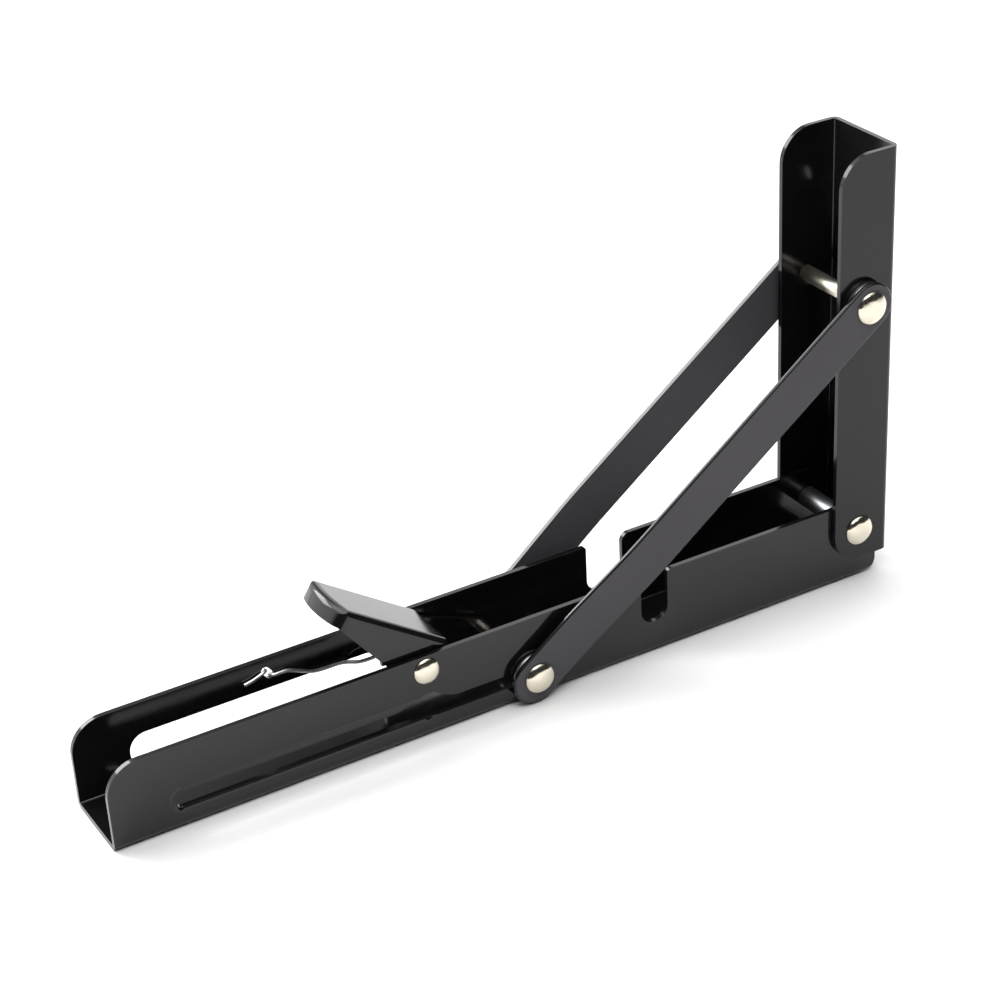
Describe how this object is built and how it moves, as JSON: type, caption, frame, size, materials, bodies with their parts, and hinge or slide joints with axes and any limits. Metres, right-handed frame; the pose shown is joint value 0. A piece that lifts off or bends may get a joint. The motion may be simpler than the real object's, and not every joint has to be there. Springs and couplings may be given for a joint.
{
  "type": "folding shelf bracket",
  "caption": "Folding shelf bracket of black painted steel channel: shelf arm, wall channel, a flat strut on each side and a sprung release lever.",
  "frame": {"origin": "middle of the overall box in X and Y, on the shelf face of the arm's web", "axes": "+X from the arm's free end to the wall face; +Y to the far side, the one with the window; +Z from the shelf face up along the wall channel"},
  "size_m": [0.301, 0.0472, 0.163],
  "materials": {
    "black_paint": "smooth glossy black paint on steel sheet",
    "nickel": "nickel plated, smooth",
    "zinc": "zinc plated, slightly dull",
    "spring_wire": "bright drawn spring wire"
  },
  "bodies": {
    "arm": {"shelf_arm": "black_paint", "lever_rivet": "nickel", "lever_sleeve": "zinc", "lever_spring": "spring_wire"},
    "wall": {"wall_channel": "black_paint", "wall_rod": "nickel", "hinge_rivet": "nickel", "hinge_sleeve": "zinc"},
    "slider": {"slide_pin": "nickel", "near_slide_washer": "zinc", "far_slide_washer": "zinc"},
    "struts": {"near_strut": "black_paint", "far_strut": "black_paint", "near_strut_rivet": "nickel", "far_strut_rivet": "nickel", "near_strut_washer": "zinc", "far_strut_washer": "zinc"},
    "lever": {"release_lever": "black_paint"}
  },
  "joints": [
    {"name": "wall_fold", "type": "hinge", "parent": "arm", "child": "wall", "pos_m": [0.1374, 0, 0.0204], "axis": [0, -1, 0], "range_deg": [0, 90]},
    {"name": "pin_slide", "type": "slide", "parent": "arm", "child": "slider", "axis": [-1, 0, 0], "range_m": [0, 0.1207]},
    {"name": "strut_swing", "type": "hinge", "parent": "slider", "child": "struts", "pos_m": [0.0024, 0, 0.0096], "axis": [0, 1, 0], "range_deg": [0, 32.71]},
    {"name": "lever_press", "type": "hinge", "parent": "arm", "child": "lever", "pos_m": [-0.0376, 0, 0.0252], "axis": [0, -1, 0], "range_deg": [-5, 10], "stiffness_Nm_per_rad": 0.2}
  ],
  "couplings": [
    {"joint": "pin_slide", "follows": "wall_fold", "m_per_rad": 0.076763},
    {"joint": "strut_swing", "follows": "wall_fold", "ratio": 0.36236}
  ]
}
